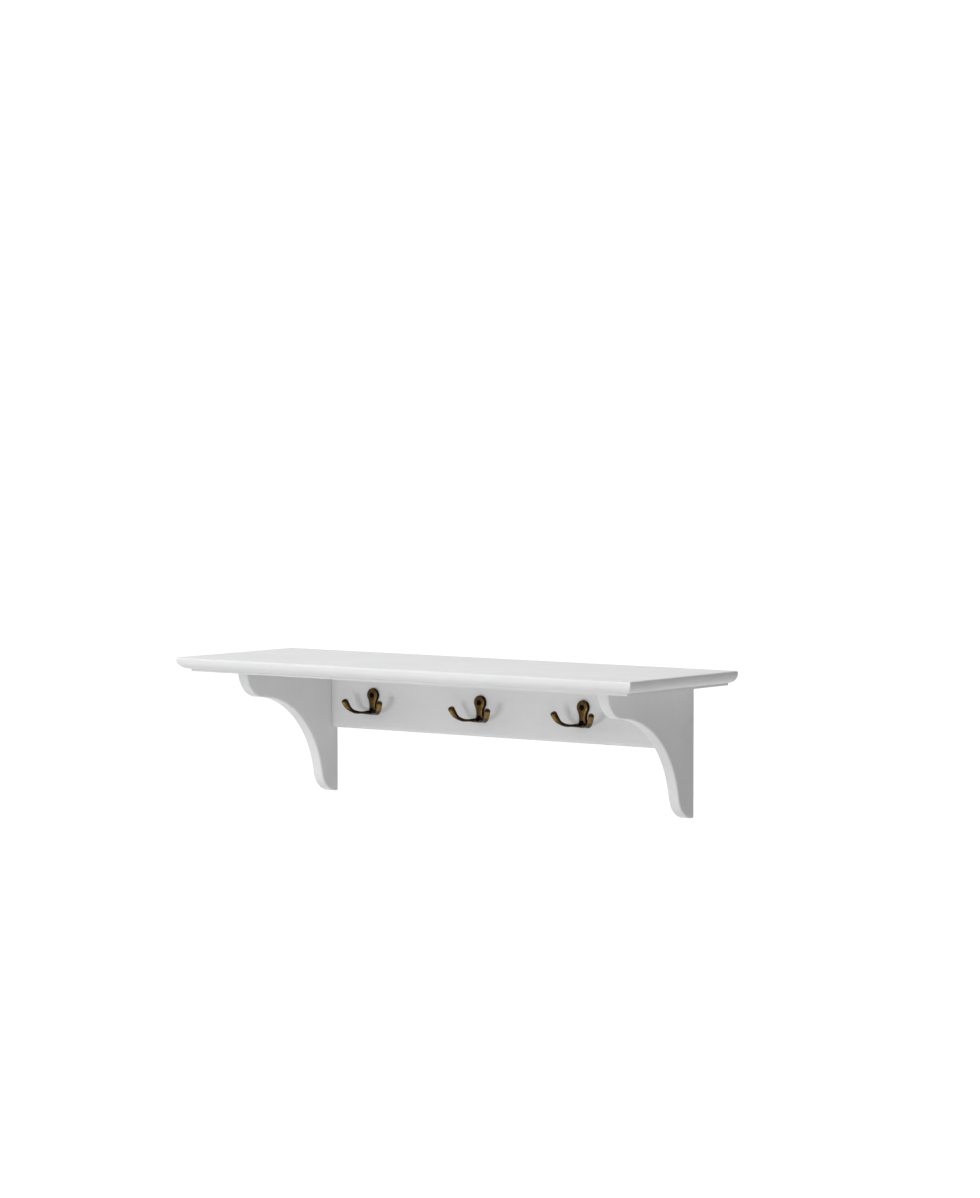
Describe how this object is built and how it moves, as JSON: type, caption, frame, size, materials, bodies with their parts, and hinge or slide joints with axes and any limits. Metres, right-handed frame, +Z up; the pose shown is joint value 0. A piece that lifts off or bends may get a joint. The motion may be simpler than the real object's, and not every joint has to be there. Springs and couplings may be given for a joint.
{
  "type": "wall hook rack",
  "caption": "White painted wall shelf on curved side brackets, with a back rail that carries double-armed antique brass coat hooks.",
  "frame": {"origin": "middle of the back rail's rear face, in the plane of the wall", "axes": "+X to the right along the shelf seen from the room, +Y into the wall, +Z up"},
  "size_m": [0.7, 0.225, 0.182],
  "materials": {
    "white_paint": "satin white paint on smooth board",
    "antique_brass": "dark antique patina rubbed through to brass on the high spots",
    "zinc_steel": "zinc plated",
    "beech": "bare beech dowel"
  },
  "bodies": {
    "root": {"shelf_board": "white_paint", "left_bracket": "white_paint", "right_bracket": "white_paint", "back_rail": "white_paint", "left_hook": "antique_brass", "left_hook_screw_upper": "antique_brass", "left_hook_screw_lower": "antique_brass", "middle_hook": "antique_brass", "middle_hook_screw_upper": "antique_brass", "middle_hook_screw_lower": "antique_brass", "right_hook": "antique_brass", "right_hook_screw_upper": "antique_brass", "right_hook_screw_lower": "antique_brass", "left_bracket_dowel_rear": "beech", "left_bracket_dowel_front": "beech", "left_rail_dowel_upper": "beech", "left_rail_dowel_lower": "beech", "right_bracket_dowel_rear": "beech", "right_bracket_dowel_front": "beech", "right_rail_dowel_upper": "beech", "right_rail_dowel_lower": "beech", "top_rail_dowel_left": "beech", "top_rail_dowel_middle": "beech", "top_rail_dowel_right": "beech", "left_hanger_plate": "zinc_steel", "left_hanger_plate_screw_upper": "zinc_steel", "left_hanger_plate_screw_lower": "zinc_steel", "right_hanger_plate": "zinc_steel", "right_hanger_plate_screw_upper": "zinc_steel", "right_hanger_plate_screw_lower": "zinc_steel"}
  },
  "joints": []
}
